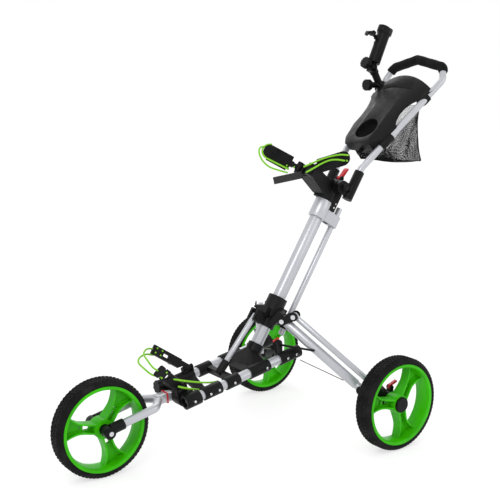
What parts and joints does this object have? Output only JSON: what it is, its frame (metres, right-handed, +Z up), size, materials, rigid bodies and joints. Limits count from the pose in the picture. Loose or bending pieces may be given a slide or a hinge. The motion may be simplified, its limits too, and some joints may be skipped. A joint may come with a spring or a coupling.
{
  "type": "golf push trolley",
  "caption": "Folding push trolley with a front fork wheel, parallel-link rear legs, padded bag brackets, U handle, console tray, net pocket and umbrella socket.",
  "frame": {"origin": "on the ground plane, under the middle of the trolley's overall box", "axes": "-Y is forward (front wheel), +X is the pushing person's left, +Z is up"},
  "size_m": [0.65, 1.2148, 1.1439],
  "materials": {
    "tube": "satin clear-coated light silver",
    "casting": "moulded glass-filled nylon, matt",
    "soft_plastic": "fine-grained moulded plastic",
    "rim": "semi-gloss moulded plastic",
    "tyre": "matt solid rubber with lugs",
    "grip": "matt closed-cell foam",
    "cord": "braided elastic",
    "webbing": "woven webbing",
    "net": "knitted net",
    "lever": "semi-gloss moulded plastic",
    "steel": "bright plated",
    "wire": "stranded wire"
  },
  "bodies": {
    "frame": {"column_tube": "tube", "rail_left": "tube", "rail_right": "tube", "brace_tube": "tube", "hub_bracket": "casting", "elbow_casting": "casting", "brace_clamp": "casting", "front_block": "casting", "rail_end_brackets": "casting", "head_casting": "casting", "guide_collar": "tube", "upper_saddle": "casting", "lower_saddle": "casting", "frame_fasteners": "steel", "bag_strap": "webbing", "bag_cords": "cord", "stays_left": "wire", "stays_right": "wire"},
    "push_rod": {"push_rod": "tube"},
    "fork": {"fork_tube": "tube", "fork_clamps": "casting", "front_axle": "steel", "fork_ring": "lever"},
    "fork_knob": {"fork_knob": "casting"},
    "front_wheel": {"front_tyre": "tyre", "front_rim": "rim", "front_hub": "casting"},
    "leg_left": {"leg_left": "tube"},
    "link_left": {"link_left": "tube"},
    "carrier_left": {"carrier_left": "casting", "axle_left": "steel"},
    "wheel_left": {"tyre_left": "tyre", "rim_left": "rim", "hub_left": "casting"},
    "brake_lever_left": {"brake_lever_left": "lever"},
    "leg_right": {"leg_right": "tube"},
    "link_right": {"link_right": "tube"},
    "carrier_right": {"carrier_right": "casting", "axle_right": "steel"},
    "wheel_right": {"tyre_right": "tyre", "rim_right": "rim", "hub_right": "casting"},
    "brake_lever_right": {"brake_lever_right": "lever"},
    "handle": {"handle_tube": "tube", "handle_grip": "grip", "handle_collars": "casting", "console": "soft_plastic", "mesh_bag": "net", "umbrella_clamp": "casting"},
    "handle_knob": {"collar_knob": "casting"},
    "handle_lever": {"handle_lever": "lever"},
    "umbrella_knob": {"umbrella_knob": "casting"},
    "umbrella_swivel": {"umbrella_swivel": "casting"},
    "swivel_knob": {"swivel_knob": "casting"},
    "umbrella_holder": {"umbrella_holder": "casting"},
    "wing_screw": {"wing_screw": "casting"},
    "upper_arm_left": {"upper_arm_left": "soft_plastic"},
    "upper_arm_right": {"upper_arm_right": "soft_plastic"},
    "lower_arm_left": {"lower_arm_left": "soft_plastic"},
    "lower_arm_right": {"lower_arm_right": "soft_plastic"}
  },
  "joints": [
    {"name": "leg_fold_left", "type": "hinge", "parent": "frame", "child": "leg_left", "pos_m": [0.052, 0.052, 0.331], "axis": [-0.5878, 0.809, 0], "range_deg": [0, 16], "deforming": ["stays_left"]},
    {"name": "link_fold_left", "type": "hinge", "parent": "frame", "child": "link_left", "pos_m": [0.078, 0.0709, 0.346], "axis": [-0.5878, 0.809, 0], "range_deg": [0, 16]},
    {"name": "carrier_level_left", "type": "hinge", "parent": "leg_left", "child": "carrier_left", "pos_m": [0.23014, 0.18143, 0.15804], "axis": [-0.5878, 0.809, 0], "range_deg": [-16, 0]},
    {"name": "wheel_spin_left", "type": "hinge", "parent": "carrier_left", "child": "wheel_left", "pos_m": [0.297, 0.244, 0.127], "axis": [1, 0, 0], "continuous": true},
    {"name": "brake_lever_turn_left", "type": "hinge", "parent": "carrier_left", "child": "brake_lever_left", "pos_m": [0.262, 0.256, 0.159], "axis": [1, 0, 0], "range_deg": [-12, 12]},
    {"name": "leg_fold_right", "type": "hinge", "parent": "frame", "child": "leg_right", "pos_m": [-0.052, 0.052, 0.331], "axis": [-0.5878, -0.809, 0], "range_deg": [0, 16], "deforming": ["stays_right"]},
    {"name": "link_fold_right", "type": "hinge", "parent": "frame", "child": "link_right", "pos_m": [-0.078, 0.0709, 0.346], "axis": [-0.5878, -0.809, 0], "range_deg": [0, 16]},
    {"name": "carrier_level_right", "type": "hinge", "parent": "leg_right", "child": "carrier_right", "pos_m": [-0.23014, 0.18143, 0.15804], "axis": [-0.5878, -0.809, 0], "range_deg": [-16, 0]},
    {"name": "wheel_spin_right", "type": "hinge", "parent": "carrier_right", "child": "wheel_right", "pos_m": [-0.297, 0.244, 0.127], "axis": [1, 0, 0], "continuous": true},
    {"name": "brake_lever_turn_right", "type": "hinge", "parent": "carrier_right", "child": "brake_lever_right", "pos_m": [-0.262, 0.256, 0.159], "axis": [1, 0, 0], "range_deg": [-12, 12]},
    {"name": "push_rod_slide", "type": "slide", "parent": "frame", "child": "push_rod", "axis": [0, -0.527, -0.8499], "range_m": [0, 0.012]},
    {"name": "fork_fold", "type": "hinge", "parent": "frame", "child": "fork", "pos_m": [0, -0.258, 0.172], "axis": [1, 0, 0], "range_deg": [0, 95]},
    {"name": "front_wheel_spin", "type": "hinge", "parent": "fork", "child": "front_wheel", "pos_m": [0, -0.48, 0.127], "axis": [1, 0, 0], "continuous": true},
    {"name": "fork_knob_turn", "type": "hinge", "parent": "frame", "child": "fork_knob", "pos_m": [-0.036, -0.298, 0.186], "axis": [0, -1, 0], "range_deg": [-180, 180]},
    {"name": "handle_fold", "type": "hinge", "parent": "frame", "child": "handle", "pos_m": [0, 0.26409, 0.68164], "axis": [-1, 0, 0], "range_deg": [0, 95]},
    {"name": "handle_knob_turn", "type": "hinge", "parent": "handle", "child": "handle_knob", "pos_m": [0, 0.26409, 0.68164], "axis": [1, 0, 0], "range_deg": [-180, 180]},
    {"name": "handle_lever_lift", "type": "hinge", "parent": "frame", "child": "handle_lever", "pos_m": [0, 0.29285, 0.70146], "axis": [1, 0, 0], "range_deg": [-20, 25]},
    {"name": "clamp_knob_turn", "type": "hinge", "parent": "handle", "child": "umbrella_knob", "pos_m": [-0.113, 0.504, 0.963], "axis": [0, -1, 0], "range_deg": [-180, 180]},
    {"name": "umbrella_swivel_turn", "type": "hinge", "parent": "handle", "child": "umbrella_swivel", "pos_m": [-0.112, 0.524, 0.998], "axis": [0.0222, -0.5339, 0.8453], "range_deg": [-35, 35]},
    {"name": "umbrella_tilt", "type": "hinge", "parent": "umbrella_swivel", "child": "umbrella_holder", "pos_m": [-0.112, 0.513, 1.017], "axis": [0, 0.9107, -0.4131], "range_deg": [-30, 30]},
    {"name": "swivel_knob_turn", "type": "hinge", "parent": "umbrella_swivel", "child": "swivel_knob", "pos_m": [-0.112, 0.513, 1.017], "axis": [0, 0.9107, -0.4131], "range_deg": [-180, 180]},
    {"name": "wing_screw_turn", "type": "hinge", "parent": "umbrella_holder", "child": "wing_screw", "pos_m": [-0.112, 0.54853, 1.09532], "axis": [0, 0.9107, -0.4131], "range_deg": [-90, 90]},
    {"name": "upper_arm_left_swing", "type": "hinge", "parent": "frame", "child": "upper_arm_left", "pos_m": [0.024, 0.16155, 0.73639], "axis": [0, 0.527, 0.8499], "range_deg": [-55, 2], "deforming": ["bag_cords"]},
    {"name": "upper_arm_right_swing", "type": "hinge", "parent": "frame", "child": "upper_arm_right", "pos_m": [-0.024, 0.16155, 0.73639], "axis": [0, 0.527, 0.8499], "range_deg": [-60, 5], "deforming": ["bag_cords"]},
    {"name": "lower_arm_left_swing", "type": "hinge", "parent": "frame", "child": "lower_arm_left", "pos_m": [0.044, -0.27393, 0.20442], "axis": [0, 0.9799, 0.1994], "range_deg": [-12, 12], "deforming": ["bag_cords"]},
    {"name": "lower_arm_right_swing", "type": "hinge", "parent": "frame", "child": "lower_arm_right", "pos_m": [-0.062, -0.18757, 0.21127], "axis": [0, 0.9799, 0.1994], "range_deg": [-12, 12], "deforming": ["bag_cords"]}
  ],
  "couplings": [
    {"joint": "leg_fold_right", "follows": "leg_fold_left", "ratio": 1},
    {"joint": "link_fold_left", "follows": "leg_fold_left", "ratio": 1},
    {"joint": "link_fold_right", "follows": "leg_fold_left", "ratio": 1},
    {"joint": "carrier_level_left", "follows": "leg_fold_left", "ratio": -1},
    {"joint": "carrier_level_right", "follows": "leg_fold_left", "ratio": -1},
    {"joint": "push_rod_slide", "follows": "leg_fold_left", "m_per_rad": 0.02}
  ]
}
